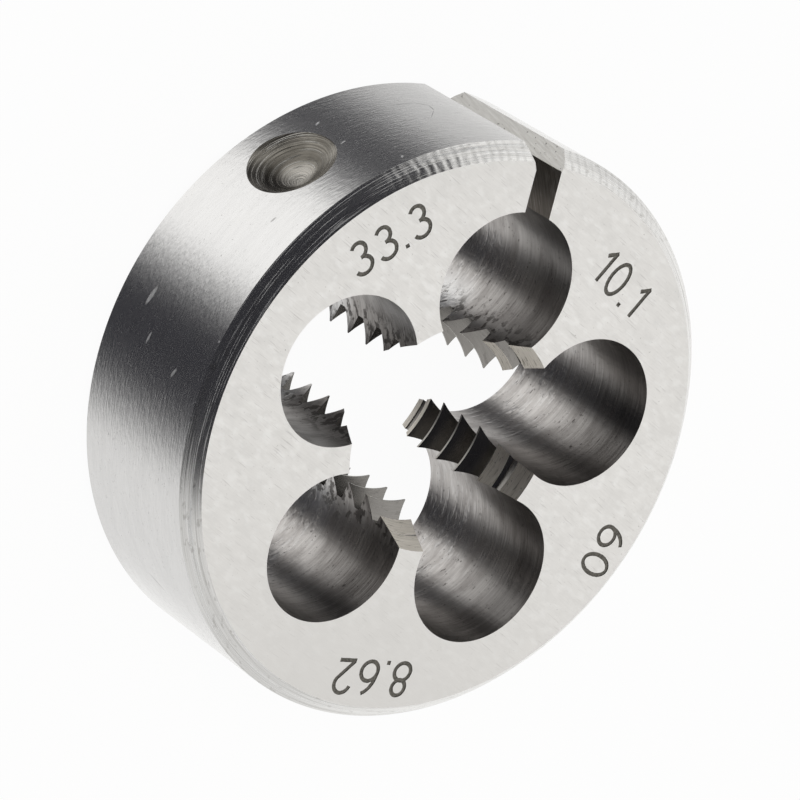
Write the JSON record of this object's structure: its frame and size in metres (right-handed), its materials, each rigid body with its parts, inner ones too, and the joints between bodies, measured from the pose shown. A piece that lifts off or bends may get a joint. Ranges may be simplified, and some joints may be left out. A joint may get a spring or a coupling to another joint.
{
  "type": "threading die",
  "caption": "Adjustable round threading die: a slotted steel disc with toothed lands, chip holes, a V notch and clamping dimples in its rim.",
  "frame": {"origin": "on the thread axis, at the middle of the back face that the die lies on", "axes": "+Z along the thread axis, out of the marked face where a workpiece enters; +Y towards the chip hole that the adjusting slot opens into"},
  "size_m": [0.0334, 0.0333, 0.0111],
  "materials": {
    "tool_steel": "ground"
  },
  "bodies": {
    "root": {"die_body": "tool_steel"}
  },
  "joints": []
}
